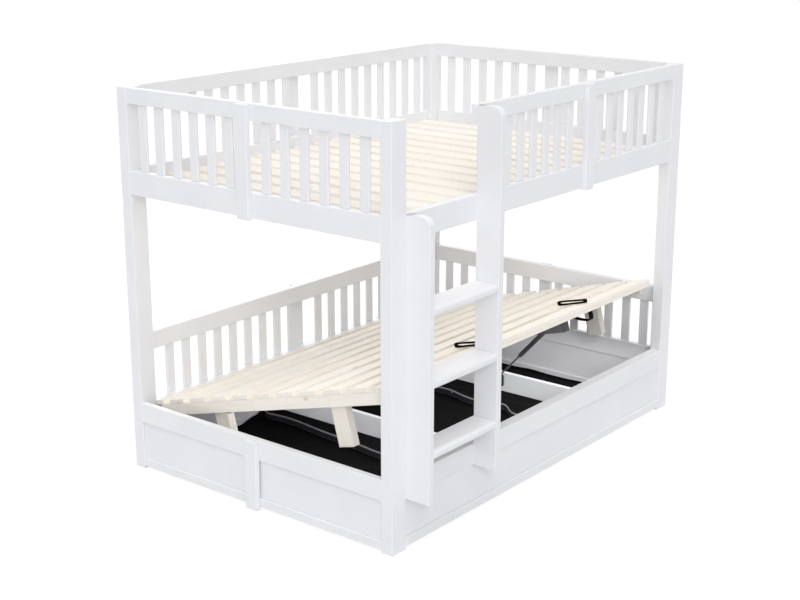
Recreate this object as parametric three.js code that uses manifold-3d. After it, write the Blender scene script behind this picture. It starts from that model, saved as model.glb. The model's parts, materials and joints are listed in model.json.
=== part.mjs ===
import * as THREE from 'three';
import { mergeVertices } from 'three/addons/utils/BufferGeometryUtils.js';
import Module from 'manifold-3d';

// Bunk bed for two full-size mattresses, with a slatted storage platform under the lower one.
// The platform tips up on two steel arms, each held by a gas strut, and is drawn raised.
// Millimetres, +Z up. X runs along the bed, Y from the ladder side to the back. Near is the
// end at low X, far the end at high X.

const wasm = await Module();
wasm.setup();

// Whole bed, over the posts
const bedLength = 2120;
const bedWidth = 1440;
const bedHeight = 1658;

// Posts
const postAlongX = 84.5;
const postAlongY = 55;

// Clearances and overlaps
const seat = 0.3; // gap left between pieces that touch in a turned group
const glue = 0.5; // depth by which joined timbers run into each other
const sideClearance = 1.5; // platform to posts

// Upper bunk: railing above a side board, on all four sides
const railHeight = 65;
const railThickness = 32.6;
const boardHeight = 101;
const upperSideDepth = 443; // rail's top to the board's underside
const slatWidth = 44;
const slatThickness = 12;
const endSlatPitch = 97.8;
const backSlatPitch = 97.7;
const backSlatFirst = 207; // first slat's centre from the near end
const guardSlatPitch = 89.5;
const guardEndInset = 40; // end upright, from the start of the guard rail
const guardEndWidth = 32;
const guardSlatsInset = 52; // start of the slats' spacing, from the same place
const leastSlatGap = 45; // between a post and the nearest slat

// Stiles that stand proud at the middle of a side
const stileWidth = 63;
const stileProud = 23.5;
const stileDrop = 6; // below the board
const stileTopStep = 2; // below the rail's top
const guardStileFromMiddle = 237;

// Slatted deck of the upper bunk
const deckSlatWidth = 88;
const deckSlatThickness = 18;
const upperDeckPitch = 132.5;
const upperDeckRise = 54; // deck's top above the underside of the side boards
const ledgerHeight = 35;
const ledgerThickness = 30;
const beamWidth = 60;

// Panels round the lower bunk
const panelBottom = 11.4;
const panelTop = 300;
const railedPanelTop = 289; // where a railing stands on the panel
const endPanelDepth = 29;
const frontPanelDepth = 52;
const backPanelDepth = 50;
const topRailHeight = 87;
const plinthHeight = 36.6;
const sheetInset = 8;
const lowerRailTop = 594.5;
const lowerRailHeight = 79;

// Storage space
const crossBoardInner = 405; // from the bed's middle to the board's inner face
const crossBoardThickness = 22;
const crossBoardBottom = 141;
const crossBoardTop = 234;
const linerThickness = 5;
const linerHeight = 12; // underside above the ground
const linerWall = 4;
const linerWallHeight = 40;
const linerSeamsFromMiddle = [-320, 470];

// Ladder
const stringerDepth = 108;
const stringerThickness = 32;
const leftStringerStart = 82.5;
const rightStringerStart = 517;
const stringerBottom = 208;
const stringerCorner = 38;
const stepThickness = 36;
const stepNose = 14;
const firstStepTop = 420;
const stepRise = 279;
const stepCount = 3;

// Lifting platform, described as it lies when closed
const openTilt = THREE.MathUtils.degToRad(15.2);
const platformFront = 11.3; // front edge behind the bed's front face
const platformBackGap = 18.7; // back edge to the back panel
const plankWidth = 88;
const plankThickness = 20;
const plankPitch = 131.7;
const backStripWidth = 43;
const noseStripWidth = 48;
const noseStripThickness = 15.5;
const platformRailHeight = 50;
const armRailHeight = 20; // rail between the planks and each arm
const endRailThickness = 26;
const railBackInset = 25;
const railFrontInset = 50;
const pivotFromBack = 167; // pivot axis in front of the platform's back edge
const pivotDepth = 85.6; // below its top
const legWidth = 38;
const legLength = 78;
const legReach = 240; // foot below the platform's top
const legFromBack = 325; // back legs, from the platform's back edge
const legFromFront = 280; // front legs, from its front edge

// Lift arms and struts, as distances from the bed's middle
const armInner = 320;
const armWidth = 45;
const armHeight = 60;
const armWall = 3;
const armBackEnd = 18; // behind the pivot
const armFrontEnd = 86; // short of the platform's front edge
const strutCentre = 385;
const bracketThickness = 4;
const pivotPinRadius = 6;
const pivotPlay = 0.5;
const pinHeadRadius = 10;
const pinHeadThickness = 5;
const pivotPlateWidth = 90;
const pivotPlateBottom = 165;
const pivotPlateRise = 15; // above the pivot axis
const strutPlateWidth = 76;
const strutPlateHeight = 60;
const plateCorner = 12;
const strutTopFromFront = 220; // top joint behind the platform's front edge
const strutTopDepth = 92; // below the platform's top
const strutFootY = 545;
const strutFootZ = 195;
const cylinderRadius = 10.5;
const cylinderLength = 216;
const cylinderTaper = 14;
const cylinderNeckRadius = 7;
const boreRadius = 4.6;
const boreEnd = 14; // solid end of the cylinder past its bore
const rodRadius = 4;
const rodInside = 88;
const jointRadius = 8.5;
const jointWidth = 15;
const studRadius = 4.5;

// Webbing
const loopLength = 158;
const loopHeight = 22;
const loopBar = 6;
const loopWidth = 10;
const loopFromFront = 100; // loop's middle from the platform's front edge
const loopsFromMiddle = [-336, 451];
const strapWidth = 35;
const strapThickness = 3;
const strapFromMiddle = 503;
const strapFromFront = 60;
const strapSpan = 103;
const strapDrop = 92; // below the platform's top

const roundSides = 16;
const cornerSteps = 5;
const mergeTolerance = 1e-4;

// Places that follow from the sizes above
const midLength = bedLength / 2;
const midWidth = bedWidth / 2;
const upperBoardBottom = bedHeight - upperSideDepth;
const upperBoardTop = upperBoardBottom + boardHeight;
const upperDeckTop = upperBoardBottom + upperDeckRise;
const ledgerTop = upperDeckTop - deckSlatThickness;
const platformUnderside = plankThickness + noseStripThickness;
const platformBack = bedWidth - backPanelDepth - platformBackGap;
const platformDepth = platformBack - platformFront;
const platformTop = panelTop + seat + platformUnderside;
const platformStart = postAlongX + sideClearance;
const platformEnd = bedLength - platformStart;
const railDepth = plankThickness + seat + platformRailHeight;
const armRailDepth = plankThickness + armRailHeight;
const armTopDepth = armRailDepth + seat;
const pivotY = platformBack - pivotFromBack;
const pivotZ = platformTop - pivotDepth;

// Materials
const paint = () => new THREE.MeshStandardMaterial({ color: 0xf2f3f5, roughness: 0.55, metalness: 0 });
const pine = () => new THREE.MeshStandardMaterial({ color: 0xefe0c6, roughness: 0.7, metalness: 0 });
const darkSteel = () => new THREE.MeshStandardMaterial({ color: 0x2c2d30, roughness: 0.5, metalness: 0.7 });
const brightSteel = () => new THREE.MeshStandardMaterial({ color: 0xa8a9ad, roughness: 0.25, metalness: 1 });
const webbing = () => new THREE.MeshStandardMaterial({ color: 0x14151a, roughness: 0.9, metalness: 0 });
const liner = () => new THREE.MeshStandardMaterial({ color: 0x1d1e22, roughness: 0.95, metalness: 0 });

// Solids
function box(x0, x1, y0, y1, z0, z1) {
  const geometry = new THREE.BoxGeometry(Math.abs(x1 - x0), y1 - y0, z1 - z0);
  geometry.translate((x0 + x1) / 2, (y0 + y1) / 2, (z0 + z1) / 2);
  return geometry;
}

// A round bar along X
function barAlongX(x0, x1, y, z, radius) {
  const geometry = new THREE.CylinderGeometry(radius, radius, Math.abs(x1 - x0), roundSides);
  geometry.rotateZ(Math.PI / 2);
  geometry.translate((x0 + x1) / 2, y, z);
  return geometry;
}

// A shape drawn as (y, z) points and given a thickness along X
function plateAcrossX(shape, x0, x1) {
  const depth = Math.abs(x1 - x0);
  const geometry = new THREE.ExtrudeGeometry(shape, { depth, bevelEnabled: false, curveSegments: cornerSteps });
  const upright = new THREE.Matrix4().makeBasis(
    new THREE.Vector3(0, 1, 0),
    new THREE.Vector3(0, 0, 1),
    new THREE.Vector3(1, 0, 0),
  );
  geometry.applyMatrix4(upright);
  geometry.translate(Math.min(x0, x1), 0, 0);
  return geometry;
}

function solid(geometry) {
  const bare = geometry.clone();
  bare.deleteAttribute('normal');
  bare.deleteAttribute('uv');
  const merged = mergeVertices(bare, mergeTolerance);
  return new wasm.Manifold(new wasm.Mesh({
    numProp: 3,
    vertProperties: Float32Array.from(merged.attributes.position.array),
    triVerts: Uint32Array.from(merged.index.array),
  }));
}

function toGeometry(manifold) {
  const mesh = manifold.getMesh();
  const geometry = new THREE.BufferGeometry();
  geometry.setAttribute('position', new THREE.BufferAttribute(mesh.vertProperties, 3));
  geometry.setIndex(new THREE.BufferAttribute(mesh.triVerts, 1));
  geometry.computeVertexNormals();
  return geometry;
}

function join(geometries) {
  return toGeometry(geometries.map(solid).reduce((whole, piece) => whole.add(piece)));
}

function cut(geometry, hole) {
  return toGeometry(solid(geometry).subtract(solid(hole)));
}

function add(group, name, geometry, material) {
  const mesh = new THREE.Mesh(geometry, material);
  mesh.name = name;
  group.add(mesh);
}

const bed = new THREE.Group();
bed.position.set(-midLength, -(bedWidth + stileProud - stringerDepth) / 2, 0);

// Each side of the bed has its own way of placing a timber: u runs along the side and v goes
// inwards from the outer face.
const sides = {
  near: { length: bedWidth, post: postAlongY, box: (u0, u1, v0, v1, z0, z1) => box(v0, v1, u0, u1, z0, z1) },
  far: {
    length: bedWidth,
    post: postAlongY,
    box: (u0, u1, v0, v1, z0, z1) => box(bedLength - v1, bedLength - v0, u0, u1, z0, z1),
  },
  front: { length: bedLength, post: postAlongX, box: (u0, u1, v0, v1, z0, z1) => box(u0, u1, v0, v1, z0, z1) },
  back: {
    length: bedLength,
    post: postAlongX,
    box: (u0, u1, v0, v1, z0, z1) => box(u0, u1, bedWidth - v1, bedWidth - v0, z0, z1),
  },
};

function evenly(count, centre, pitch) {
  return Array.from({ length: count }, (_, i) => centre + (i - (count - 1) / 2) * pitch);
}

// Of slats at a side's places, those that don't stand in front of its stile
function besideStile(places, middle) {
  return places.filter((u) => Math.abs(u - middle) > stileWidth / 2);
}

// Slat centres along an end, spread about its middle, and along the back, from the near end
const slatMargin = leastSlatGap + slatWidth / 2;
const endSlatSpan = bedWidth - 2 * (postAlongY + slatMargin);
const endSlatCount = Math.floor(endSlatSpan / endSlatPitch) + 1;
const endSlats = besideStile(evenly(endSlatCount, midWidth, endSlatPitch), midWidth);
const backSlatSpan = bedLength - postAlongX - slatMargin - backSlatFirst;
const backSlatCount = Math.floor(backSlatSpan / backSlatPitch) + 1;
const backSlatPlaces = Array.from({ length: backSlatCount }, (_, i) => backSlatFirst + i * backSlatPitch);
const backSlats = besideStile(backSlatPlaces, midLength);

function slats(side, centres, bottom, railBottom) {
  const inset = (railThickness - slatThickness) / 2;
  const half = slatWidth / 2;
  return centres.map((u) => side.box(u - half, u + half, inset, inset + slatThickness, bottom, railBottom + glue));
}

// A top rail with the slats housed in its underside
function railing(side, centres, bottom, railTop, height) {
  const railBottom = railTop - height;
  const rail = side.box(side.post, side.length - side.post, 0, railThickness, railBottom, railTop);
  return join([rail, ...slats(side, centres, bottom, railBottom)]);
}

function sideBoard(side) {
  return side.box(side.post, side.length - side.post, 0, railThickness, upperBoardBottom, upperBoardTop);
}

function stile(side, centre, bottom, top) {
  const half = stileWidth / 2;
  return side.box(centre - half, centre + half, -stileProud, 0, bottom, top);
}

// A framed panel: top rail and plinth with a thinner sheet let in between them
function framedPanel(side, depth, top) {
  const start = side.post;
  const end = side.length - side.post;
  const plinthTop = panelBottom + plinthHeight;
  const railBottom = top - topRailHeight;
  return join([
    side.box(start, end, 0, depth, railBottom, top),
    side.box(start, end, sheetInset, depth - sheetInset, plinthTop - glue, railBottom + glue),
    side.box(start, end, 0, depth, panelBottom, plinthTop),
  ]);
}

// Posts
for (const [endName, x] of [['near', 0], ['far', bedLength - postAlongX]]) {
  for (const [faceName, y] of [['front', 0], ['back', bedWidth - postAlongY]]) {
    const post = box(x, x + postAlongX, y, y + postAlongY, 0, bedHeight);
    add(bed, `post_${faceName}_${endName}`, post, paint());
  }
}

// Upper bunk, ends and back
const stileBottom = upperBoardBottom - stileDrop;
const stileTop = bedHeight - stileTopStep;
for (const [name, centres, middle] of [
  ['near', endSlats, midWidth],
  ['far', endSlats, midWidth],
  ['back', backSlats, midLength],
]) {
  const side = sides[name];
  add(bed, `upper_${name}_railing`, railing(side, centres, upperBoardTop, bedHeight, railHeight), paint());
  add(bed, `upper_${name}_board`, sideBoard(side), paint());
  add(bed, `upper_${name}_stile`, stile(side, middle, stileBottom, stileTop), paint());
}

// Upper bunk, ladder side: a full board, and a guard rail that leaves the entry open
const guardStileCentre = midLength + guardStileFromMiddle;
function guardRailing() {
  const side = sides.front;
  const railBottom = bedHeight - railHeight;
  const endStileStart = rightStringerStart + guardEndInset;
  const slatsStart = rightStringerStart + guardSlatsInset;
  const railEnd = bedLength - postAlongX;
  const halves = [
    [slatsStart, guardStileCentre - stileWidth / 2],
    [guardStileCentre + stileWidth / 2, railEnd],
  ];
  const centres = halves.flatMap(([start, end]) => {
    const count = Math.round((end - start) / guardSlatPitch) - 1;
    return evenly(count, (start + end) / 2, guardSlatPitch);
  });
  return join([
    side.box(rightStringerStart, railEnd, 0, railThickness, railBottom, bedHeight),
    side.box(
      endStileStart, endStileStart + guardEndWidth, 0, railThickness,
      upperBoardTop, railBottom + glue,
    ),
    ...slats(side, centres, upperBoardTop, railBottom),
  ]);
}
add(bed, 'guard_railing', guardRailing(), paint());
add(bed, 'upper_front_board', sideBoard(sides.front), paint());
add(bed, 'guard_stile', stile(sides.front, guardStileCentre, stileBottom, stileTop), paint());

// Upper bunk, ledgers and deck
for (const name of ['front', 'back']) {
  const { box: sideBox, length, post } = sides[name];
  const inner = railThickness + ledgerThickness;
  const ledger = sideBox(post, length - post, railThickness, inner, ledgerTop - ledgerHeight, ledgerTop);
  add(bed, `upper_ledger_${name}`, ledger, pine());
}

function upperDeck() {
  const half = deckSlatWidth / 2;
  const count = Math.round(bedLength / upperDeckPitch) - 1;
  const planks = evenly(count, midLength, upperDeckPitch).map((x) => (
    box(x - half, x + half, railThickness, bedWidth - railThickness, ledgerTop, upperDeckTop)
  ));
  const beamFront = midWidth - beamWidth / 2;
  const beam = box(
    railThickness,
    bedLength - railThickness,
    beamFront,
    beamFront + beamWidth,
    ledgerTop - ledgerHeight,
    ledgerTop + glue,
  );
  return join([beam, ...planks]);
}
add(bed, 'upper_slat_deck', upperDeck(), pine());

// Lower bunk: framed panels all round, railings at the back and the far end
add(bed, 'lower_near_panel', framedPanel(sides.near, endPanelDepth, panelTop), paint());
add(bed, 'lower_near_leg', stile(sides.near, midWidth, 0, panelTop - stileTopStep), paint());
add(bed, 'lower_front_panel', framedPanel(sides.front, frontPanelDepth, panelTop), paint());
for (const [name, depth, centres, middle] of [
  ['far', endPanelDepth, endSlats, midWidth],
  ['back', backPanelDepth, backSlats, midLength],
]) {
  const side = sides[name];
  const lowerRailing = railing(side, centres, railedPanelTop, lowerRailTop, lowerRailHeight);
  add(bed, `lower_${name}_panel`, framedPanel(side, depth, railedPanelTop), paint());
  add(bed, `lower_${name}_railing`, lowerRailing, paint());
  add(bed, `lower_${name}_leg`, stile(side, middle, 0, lowerRailTop - stileTopStep), paint());
}

// Storage space: two boards from front to back over a fabric floor in three trays
const panelInnerBack = bedWidth - backPanelDepth;
for (const [name, sign] of [['near', -1], ['far', 1]]) {
  const inner = midLength + sign * crossBoardInner;
  const outer = inner + sign * crossBoardThickness;
  const board = box(inner, outer, frontPanelDepth, panelInnerBack, crossBoardBottom, crossBoardTop);
  add(bed, `cross_board_${name}`, board, paint());
}
// An open tray of fabric between two places along the bed
function linerTray(x0, x1) {
  const front = postAlongY + seat;
  const back = bedWidth - postAlongY - seat;
  const floorTop = linerHeight + linerThickness;
  const outside = box(x0, x1, front, back, linerHeight, linerHeight + linerWallHeight);
  const inside = box(
    x0 + linerWall,
    x1 - linerWall,
    front + linerWall,
    back - linerWall,
    floorTop,
    linerHeight + linerWallHeight + glue,
  );
  return cut(outside, inside);
}
const linerEdge = endPanelDepth + seat;
const linerSeams = linerSeamsFromMiddle.map((distance) => midLength + distance);
add(bed, 'storage_liner_near', linerTray(linerEdge, linerSeams[0]), liner());
add(bed, 'storage_liner_middle', linerTray(linerSeams[0] + seat, linerSeams[1]), liner());
add(bed, 'storage_liner_far', linerTray(linerSeams[1] + seat, bedLength - linerEdge), liner());

// Ladder
function stringer(start, top) {
  const profile = new THREE.Shape();
  profile.moveTo(0, stringerBottom);
  profile.lineTo(0, top);
  profile.lineTo(stringerCorner - stringerDepth, top);
  profile.absarc(stringerCorner - stringerDepth, top - stringerCorner, stringerCorner, Math.PI / 2, Math.PI);
  profile.lineTo(-stringerDepth, stringerBottom);
  return plateAcrossX(profile, start, start + stringerThickness);
}

function step(top) {
  const bottom = top - stepThickness;
  const profile = new THREE.Shape();
  profile.moveTo(0, bottom);
  profile.lineTo(0, top);
  profile.absarc(stepNose - stringerDepth, top - stepNose, stepNose, Math.PI / 2, Math.PI);
  profile.absarc(stepNose - stringerDepth, bottom + stepNose, stepNose, Math.PI, 3 * Math.PI / 2);
  return plateAcrossX(profile, leftStringerStart + stringerThickness, rightStringerStart);
}
add(bed, 'ladder_stringer_left', stringer(leftStringerStart, upperBoardTop), paint());
add(bed, 'ladder_stringer_right', stringer(rightStringerStart, bedHeight), paint());
for (let i = 0; i < stepCount; i += 1) {
  add(bed, `ladder_step_${i + 1}`, step(firstStepTop + i * stepRise), paint());
}

// Lifting platform. Its pieces are placed as when it is closed, and the whole is then tipped
// up about the pivots of its arms.
const lift = new THREE.Group();
lift.position.set(0, pivotY, pivotZ);
lift.rotation.x = -openTilt;
const closed = new THREE.Group();
closed.position.set(0, -pivotY, -pivotZ);
lift.add(closed);
bed.add(lift);

// A box on the platform, from s0 to s1 forward of its back edge and d0 to d1 below its top
function onPlatform(x0, x1, s0, s1, d0, d1) {
  return box(x0, x1, platformBack - s1, platformBack - s0, platformTop - d1, platformTop - d0);
}

// Planks from the front edge back and a narrow back strip, all screwed to a rail above each arm
function platformSlats() {
  const lastStart = platformDepth - plankWidth;
  const plankCount = Math.floor((lastStart - backStripWidth) / plankPitch) + 1;
  const starts = Array.from({ length: plankCount }, (_, i) => lastStart - i * plankPitch);
  const planks = starts.map((s) => onPlatform(platformStart, platformEnd, s, s + plankWidth, 0, plankThickness));
  const backStrip = onPlatform(platformStart, platformEnd, 0, backStripWidth, 0, plankThickness);
  const rails = [-1, 1].map((sign) => {
    const x = midLength + sign * (armInner + armWidth / 2);
    const railTop = plankThickness - glue;
    const front = platformDepth - armFrontEnd;
    return onPlatform(x - armWidth / 2, x + armWidth / 2, 0, front, railTop, armRailDepth);
  });
  return join([...rails, backStrip, ...planks]);
}
add(closed, 'platform_slats', platformSlats(), pine());

const noseStrip = onPlatform(
  platformStart,
  platformEnd,
  platformDepth - noseStripWidth,
  platformDepth,
  plankThickness + seat,
  platformUnderside,
);
add(closed, 'platform_nose_strip', noseStrip, pine());

for (const [name, outer, sign] of [['near', platformStart, 1], ['far', platformEnd, -1]]) {
  const inner = outer + sign * endRailThickness;
  const railFront = platformDepth - railFrontInset;
  const rail = onPlatform(outer, inner, railBackInset, railFront, plankThickness + seat, railDepth);
  add(closed, `platform_rail_${name}`, rail, pine());
  const legOuter = inner + sign * seat;
  [legFromBack, platformDepth - legLength - legFromFront].forEach((start, i) => {
    const legEnd = legOuter + sign * legWidth;
    const leg = onPlatform(legOuter, legEnd, start, start + legLength, plankThickness + seat, legReach);
    add(closed, `platform_leg_${name}_${i + 1}`, leg, pine());
  });
}

// Pull loops of webbing, standing on the planks
function stadium(halfLength, radius) {
  const outline = new THREE.Shape();
  outline.absarc(halfLength - radius, 0, radius, -Math.PI / 2, Math.PI / 2);
  outline.absarc(radius - halfLength, 0, radius, Math.PI / 2, 3 * Math.PI / 2);
  return outline;
}

function pullLoop(fromMiddle) {
  const x = midLength + fromMiddle;
  const ring = stadium(loopLength / 2, loopHeight / 2);
  ring.holes.push(stadium(loopLength / 2 - loopBar, loopHeight / 2 - loopBar));
  const loop = plateAcrossX(ring, x - loopWidth / 2, x + loopWidth / 2);
  loop.translate(0, platformFront + loopFromFront, platformTop + seat + loopHeight / 2);
  return loop;
}
['near', 'far'].forEach((name, i) => {
  add(closed, `pull_loop_${name}`, pullLoop(loopsFromMiddle[i]), webbing());
});

function pullStrap() {
  const profile = new THREE.Shape();
  const start = midLength + strapFromMiddle;
  const front = platformFront + strapFromFront;
  const back = front + strapSpan;
  const top = platformTop - plankThickness - seat;
  const bottom = platformTop - strapDrop;
  profile.moveTo(front, top);
  profile.lineTo(front, bottom);
  profile.lineTo(back, bottom);
  profile.lineTo(back, top);
  profile.lineTo(back - strapThickness, top);
  profile.lineTo(back - strapThickness, bottom + strapThickness);
  profile.lineTo(front + strapThickness, bottom + strapThickness);
  profile.lineTo(front + strapThickness, top);
  return plateAcrossX(profile, start, start + strapWidth);
}
add(closed, 'pull_strap', pullStrap(), webbing());

// Lift arms under the platform, and the plates that carry their pivots
function roundedPlate(y0, y1, z0, z1, radius) {
  const outline = new THREE.Shape();
  outline.absarc(y1 - radius, z0 + radius, radius, -Math.PI / 2, 0);
  outline.absarc(y1 - radius, z1 - radius, radius, 0, Math.PI / 2);
  outline.absarc(y0 + radius, z1 - radius, radius, Math.PI / 2, Math.PI);
  outline.absarc(y0 + radius, z0 + radius, radius, Math.PI, 3 * Math.PI / 2);
  return outline;
}

const armOuter = armInner + armWidth;
const plateInner = crossBoardInner - bracketThickness;
for (const [name, sign] of [['near', -1], ['far', 1]]) {
  const x = (distance) => midLength + sign * distance;

  const armStart = pivotFromBack - armBackEnd;
  const armEnd = platformDepth - armFrontEnd;
  const armBottom = armTopDepth + armHeight;
  const bar = onPlatform(x(armInner), x(armOuter), armStart, armEnd, armTopDepth, armBottom);
  const hollow = onPlatform(
    x(armInner + armWall),
    x(armOuter - armWall),
    armStart - armWall,
    armEnd + armWall,
    armTopDepth + armWall,
    armBottom - armWall,
  );
  const boreEnds = [x(armInner - armWidth), x(armOuter + armWidth)];
  const bore = barAlongX(...boreEnds, pivotY, pivotZ, pivotPinRadius + pivotPlay);
  add(closed, `lift_arm_${name}`, cut(cut(bar, hollow), bore), darkSteel());

  const plateTop = pivotZ + pivotPlateRise;
  const half = pivotPlateWidth / 2;
  const outline = roundedPlate(pivotY - half, pivotY + half, pivotPlateBottom, plateTop, plateCorner);
  const headOuter = armInner - seat;
  add(bed, `pivot_bracket_${name}`, join([
    plateAcrossX(outline, x(plateInner), x(crossBoardInner)),
    barAlongX(x(headOuter), x(plateInner + glue), pivotY, pivotZ, pivotPinRadius),
    barAlongX(x(headOuter - pinHeadThickness), x(headOuter), pivotY, pivotZ, pinHeadRadius),
  ]), darkSteel());

  const footHalfY = strutPlateWidth / 2;
  const footHalfZ = strutPlateHeight / 2;
  const footOutline = roundedPlate(
    strutFootY - footHalfY,
    strutFootY + footHalfY,
    strutFootZ - footHalfZ,
    strutFootZ + footHalfZ,
    plateCorner,
  );
  const footPlate = plateAcrossX(footOutline, x(plateInner), x(crossBoardInner));
  add(bed, `strut_bracket_${name}`, footPlate, darkSteel());
}

// Gas struts, each drawn along -Z from its top joint and then turned onto its foot
const topRelY = pivotFromBack + strutTopFromFront - platformDepth;
const topRelZ = pivotDepth - strutTopDepth;
const strutTopY = pivotY + topRelY * Math.cos(openTilt) + topRelZ * Math.sin(openTilt);
const strutTopZ = pivotZ - topRelY * Math.sin(openTilt) + topRelZ * Math.cos(openTilt);
const strutLength = Math.hypot(strutFootY - strutTopY, strutFootZ - strutTopZ);
const strutLean = Math.atan2(strutFootY - strutTopY, strutTopZ - strutFootZ);

// Turns a profile of (radius, height) points into a round solid along Z
function turned(points) {
  const profile = points.map(([radius, z]) => new THREE.Vector2(radius, z));
  const geometry = new THREE.LatheGeometry(profile, roundSides);
  geometry.rotateX(Math.PI / 2);
  return geometry;
}

function strutCylinder(studEnd) {
  const half = jointWidth / 2;
  const tube = turned([
    [0, -boreEnd],
    [boreRadius, -boreEnd],
    [boreRadius, -cylinderLength],
    [cylinderNeckRadius, -cylinderLength],
    [cylinderRadius, cylinderTaper - cylinderLength],
    [cylinderRadius, -cylinderTaper],
    [cylinderNeckRadius, 0],
    [0, 0],
  ]);
  return join([
    tube,
    barAlongX(-half, half, 0, 0, jointRadius),
    barAlongX(0, studEnd, 0, 0, studRadius),
  ]);
}

function strutRod(studEnd) {
  const half = jointWidth / 2;
  const foot = -strutLength;
  const rod = turned([
    [0, foot],
    [rodRadius, foot],
    [rodRadius, rodInside - cylinderLength],
    [0, rodInside - cylinderLength],
  ]);
  return join([
    rod,
    barAlongX(-half, half, 0, foot, jointRadius),
    barAlongX(0, studEnd, 0, foot, studRadius),
  ]);
}

for (const [name, sign] of [['near', -1], ['far', 1]]) {
  const strut = new THREE.Group();
  strut.position.set(midLength + sign * strutCentre, strutTopY, strutTopZ);
  strut.rotation.x = strutLean;
  bed.add(strut);
  add(strut, `strut_cylinder_${name}`, strutCylinder(sign * (armOuter + seat - strutCentre)), darkSteel());
  add(strut, `strut_rod_${name}`, strutRod(sign * (plateInner - seat - strutCentre)), brightSteel());
}

export default bed;
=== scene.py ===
import json
import math
import random

import bmesh
import bpy
import numpy as np
from mathutils import Matrix, Vector, noise

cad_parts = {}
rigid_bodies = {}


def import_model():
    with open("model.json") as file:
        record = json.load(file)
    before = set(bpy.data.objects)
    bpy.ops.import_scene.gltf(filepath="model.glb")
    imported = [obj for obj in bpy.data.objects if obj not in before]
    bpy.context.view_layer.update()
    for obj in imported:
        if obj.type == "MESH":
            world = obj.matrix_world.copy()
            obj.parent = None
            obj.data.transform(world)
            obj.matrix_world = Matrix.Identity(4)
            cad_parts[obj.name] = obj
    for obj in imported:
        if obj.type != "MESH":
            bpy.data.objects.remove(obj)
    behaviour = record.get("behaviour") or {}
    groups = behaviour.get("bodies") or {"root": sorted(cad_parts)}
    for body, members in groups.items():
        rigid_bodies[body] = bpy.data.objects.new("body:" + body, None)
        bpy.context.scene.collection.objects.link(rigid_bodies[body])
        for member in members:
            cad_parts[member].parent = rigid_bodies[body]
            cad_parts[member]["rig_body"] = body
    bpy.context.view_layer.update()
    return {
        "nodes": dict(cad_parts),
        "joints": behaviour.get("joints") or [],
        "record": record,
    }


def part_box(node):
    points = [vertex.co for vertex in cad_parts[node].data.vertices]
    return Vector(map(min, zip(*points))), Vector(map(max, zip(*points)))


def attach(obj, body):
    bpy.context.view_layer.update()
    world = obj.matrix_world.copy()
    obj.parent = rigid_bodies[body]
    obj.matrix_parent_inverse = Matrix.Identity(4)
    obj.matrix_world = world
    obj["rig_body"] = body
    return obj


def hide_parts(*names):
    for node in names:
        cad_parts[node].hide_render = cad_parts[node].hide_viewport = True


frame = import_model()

# The bunk bed's looks. Metres, in the frame's own axes: X along the bed, Y to the back, Z up.

MM = 0.001
X, Y, Z = 0, 1, 2

# Camera, solved from the photograph's straight edges for a picture 800 pixels wide
PICTURE_WIDTH = 800
FOCAL_PIXELS = 1462.03
SENSOR_WIDTH = 36.0
CAMERA_PLACE = (-4.98476, -3.85400, 2.48365)
CAMERA_TILT = 73.78
CAMERA_TURN = -51.35

# Edges and surfaces
PAINTED_EDGE = 3.0 * MM
PINE_EDGE = 2.0 * MM
STEEL_EDGE = 1.2 * MM
EDGE_SHARE = 0.45  # most of a timber's thickness that a rounded edge takes
ROUND_STEPS = 3
SAME_PLACE = 0.02 * MM
SKIN = 0.1 * MM  # how far inside a slab it is cut, to leave out the faces that close it
JOINTED_PANEL = "lower_back_panel"  # its inner sheet is two boards
PANEL_JOINT_X = -418 * MM
BOARD_JOINT = 0.5 * MM
FLAT_ANGLE = math.radians(1)
EDGE_ANGLE = math.radians(35)

random.seed(7)

nodes = frame["nodes"]
body_of_node = {name: node["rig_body"] for name, node in nodes.items()}
slot_of_node = {row["node"]: row["material_slot"] for row in frame["record"]["subparts"]}

joints = {joint["name"]: joint for joint in frame["joints"]}
LIFT_PIVOT = Vector(joints["platform_lift"]["pos_m"])
LIFT_ANGLE = math.radians(max(joints["platform_lift"]["range_deg"]))
RAISED = (
    Matrix.Translation(LIFT_PIVOT) @ Matrix.Rotation(-LIFT_ANGLE, 4, "X") @ Matrix.Translation(-LIFT_PIVOT)
)


# Materials
MIX_COLOUR_A, MIX_COLOUR_B, MIX_COLOUR_RESULT = 6, 7, 2  # sockets of the Mix node for colours


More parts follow.
